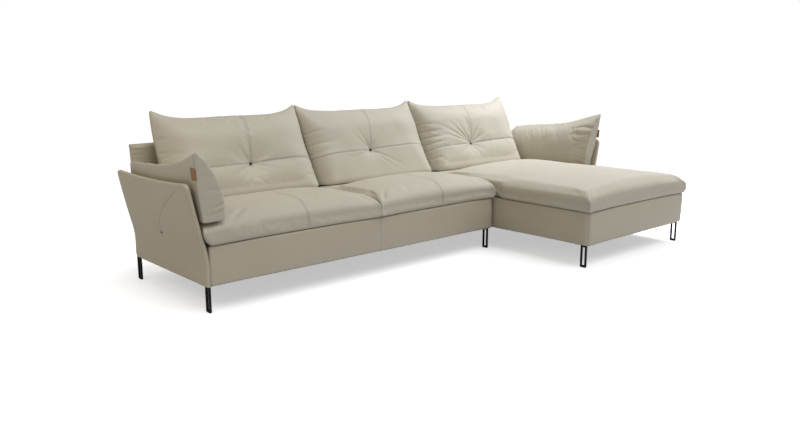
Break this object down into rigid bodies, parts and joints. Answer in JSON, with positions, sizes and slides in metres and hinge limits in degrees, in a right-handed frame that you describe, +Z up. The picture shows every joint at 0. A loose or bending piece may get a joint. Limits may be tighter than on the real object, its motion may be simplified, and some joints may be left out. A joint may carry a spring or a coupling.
{
  "type": "sofa",
  "caption": "Leather sofa with a chaise at one end, thin flared arm panels, loose seat, back and arm cushions, and black flat-bar loop legs.",
  "frame": {"origin": "on the floor, below the middle of the whole sofa's length and depth", "axes": "+Z up, -Y is the front that faces the sitter's feet, +X runs along the length from the arm section to the chaise"},
  "size_m": [3.3178, 1.6443, 0.9306],
  "materials": {
    "cushion_leather": "soft grained greige leather",
    "frame_leather": "taut grained greige leather",
    "tan_leather": "bare tan leather",
    "button_leather": "dark leather",
    "black_steel": "satin black powder coat",
    "zinc_steel": "zinc plated",
    "glide_plastic": "matte",
    "webbing": "woven elastic webbing",
    "deck_felt": "felted pad",
    "dust_cloth": "non-woven cloth",
    "frame_wood": "bare hardwood and plywood"
  },
  "bodies": {
    "sofa_section": {"left_arm_board": "frame_wood", "left_arm_cover": "frame_leather", "left_arm_pin": "button_leather", "sofa_back_board": "frame_wood", "sofa_back_cover": "frame_leather", "sofa_back_pins": "zinc_steel", "sofa_base_cover": "frame_leather", "sofa_centre_rail": "frame_wood", "sofa_connectors": "zinc_steel", "sofa_corner_blocks": "frame_wood", "sofa_deck_pad": "deck_felt", "sofa_dust_cover": "dust_cloth", "sofa_fixings": "zinc_steel", "sofa_front_rail": "frame_wood", "sofa_glides": "glide_plastic", "sofa_left_rail": "frame_wood", "sofa_leg_front_left": "black_steel", "sofa_leg_front_right": "black_steel", "sofa_leg_rear_left": "black_steel", "sofa_leg_rear_right": "black_steel", "sofa_rear_rail": "frame_wood", "sofa_right_rail": "frame_wood", "sofa_webbing": "webbing"},
    "chaise_section": {"chaise_back_board": "frame_wood", "chaise_back_cover": "frame_leather", "chaise_back_pins": "zinc_steel", "chaise_base_cover": "frame_leather", "chaise_centre_rail": "frame_wood", "chaise_connectors": "zinc_steel", "chaise_corner_blocks": "frame_wood", "chaise_deck_pad": "deck_felt", "chaise_dust_cover": "dust_cloth", "chaise_fixings": "zinc_steel", "chaise_front_rail": "frame_wood", "chaise_glides": "glide_plastic", "chaise_left_rail": "frame_wood", "chaise_leg_front_left": "black_steel", "chaise_leg_front_right": "black_steel", "chaise_leg_rear_left": "black_steel", "chaise_leg_rear_right": "black_steel", "chaise_rear_rail": "frame_wood", "chaise_right_rail": "frame_wood", "chaise_webbing": "webbing", "right_arm_board": "frame_wood", "right_arm_cover": "frame_leather", "right_arm_pin": "button_leather"},
    "seat_left": {"seat_cushion_left": "cushion_leather"},
    "seat_middle": {"seat_cushion_middle": "cushion_leather"},
    "chaise_seat": {"chaise_cushion": "cushion_leather"},
    "back_left": {"back_cushion_left": "cushion_leather", "back_button_left": "button_leather"},
    "back_middle": {"back_cushion_middle": "cushion_leather", "back_button_middle": "button_leather"},
    "back_right": {"back_cushion_right": "cushion_leather", "back_button_right": "button_leather"},
    "arm_rest_left": {"arm_cushion_left": "cushion_leather", "arm_tag_left": "tan_leather"},
    "arm_rest_right": {"arm_cushion_right": "cushion_leather", "arm_tag_right": "tan_leather"}
  },
  "joints": [
    {"name": "chaise_lift", "type": "slide", "parent": "sofa_section", "child": "chaise_section", "axis": [0, 0, 1], "range_m": [0, 0.08]},
    {"name": "seat_left_lift", "type": "slide", "parent": "sofa_section", "child": "seat_left", "axis": [0, 0, 1], "range_m": [0, 0.25]},
    {"name": "seat_middle_lift", "type": "slide", "parent": "sofa_section", "child": "seat_middle", "axis": [0, 0, 1], "range_m": [0, 0.25]},
    {"name": "chaise_seat_lift", "type": "slide", "parent": "chaise_section", "child": "chaise_seat", "axis": [0, 0, 1], "range_m": [0, 0.25]},
    {"name": "back_left_lift", "type": "slide", "parent": "seat_left", "child": "back_left", "axis": [0, 0, 1], "range_m": [0, 0.5]},
    {"name": "back_middle_lift", "type": "slide", "parent": "seat_middle", "child": "back_middle", "axis": [0, 0, 1], "range_m": [0, 0.5]},
    {"name": "back_right_lift", "type": "slide", "parent": "chaise_seat", "child": "back_right", "axis": [0, 0, 1], "range_m": [0, 0.5]},
    {"name": "arm_rest_left_lift", "type": "slide", "parent": "seat_left", "child": "arm_rest_left", "axis": [0, 0, 1], "range_m": [0, 0.4]},
    {"name": "arm_rest_right_lift", "type": "slide", "parent": "chaise_seat", "child": "arm_rest_right", "axis": [0, 0, 1], "range_m": [0, 0.4]}
  ]
}
